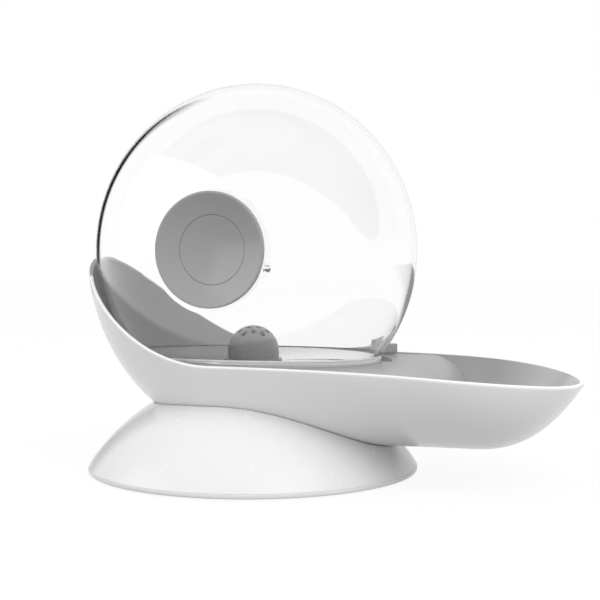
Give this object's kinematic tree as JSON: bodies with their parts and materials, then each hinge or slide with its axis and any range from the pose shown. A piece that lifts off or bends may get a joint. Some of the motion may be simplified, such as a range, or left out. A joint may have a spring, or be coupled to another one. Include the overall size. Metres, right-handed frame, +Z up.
{
  "type": "pet water fountain",
  "caption": "Gravity-fed pet water fountain: clear upright tank with a bayonet filler cap and outlet lever, standing in a snail-shaped hull with a drinking bowl on a domed foot.",
  "frame": {"origin": "centre of the round foot, on the surface it stands on, under the tank's axis", "axes": "+X towards the bowl's tip, +Z up, -Y out through the filler cap"},
  "size_m": [0.2996, 0.199, 0.233],
  "materials": {
    "white_plastic": "gloss",
    "clear_plastic": "clear gloss",
    "grey_plastic": "satin",
    "grey_rubber": "matte",
    "dark_rubber": "matte",
    "sponge": "open cell",
    "steel": "satin"
  },
  "bodies": {
    "base": {"hull_shell": "white_plastic", "foot_shell": "white_plastic", "foot_base_plate": "white_plastic", "foot_grip": "grey_rubber", "foot_screws": "steel"},
    "deck": {"tank_seat": "grey_plastic", "seat_ring": "grey_rubber"},
    "tank": {"tank_globe": "clear_plastic", "tank_base": "grey_plastic", "base_seal": "grey_rubber", "outlet_spout": "white_plastic", "filter_dome": "grey_plastic", "filter_sponge": "sponge", "shutoff_seal": "dark_rubber"},
    "lever": {"shutoff_lever": "grey_plastic"},
    "cap_seal": {"cap_gasket": "grey_rubber"},
    "fill_cap": {"cap_dish": "grey_plastic", "cap_inlay": "grey_plastic", "cap_plug": "grey_plastic"}
  },
  "joints": [
    {"name": "deck_lift", "type": "slide", "parent": "base", "child": "deck", "axis": [0, 0, 1], "range_m": [0, 0.06]},
    {"name": "tank_lift", "type": "slide", "parent": "deck", "child": "tank", "axis": [0, 0, 1], "range_m": [0, 0.12]},
    {"name": "shutoff_turn", "type": "hinge", "parent": "tank", "child": "lever", "pos_m": [0, 0, 0.0635], "axis": [0, 0, -1], "range_deg": [0, 30]},
    {"name": "cap_pull", "type": "slide", "parent": "tank", "child": "cap_seal", "axis": [0, -1, 0], "range_m": [0, 0.05]},
    {"name": "cap_turn", "type": "hinge", "parent": "cap_seal", "child": "fill_cap", "pos_m": [0, -0.068, 0.1325], "axis": [0, -1, 0], "range_deg": [0, 47]}
  ]
}
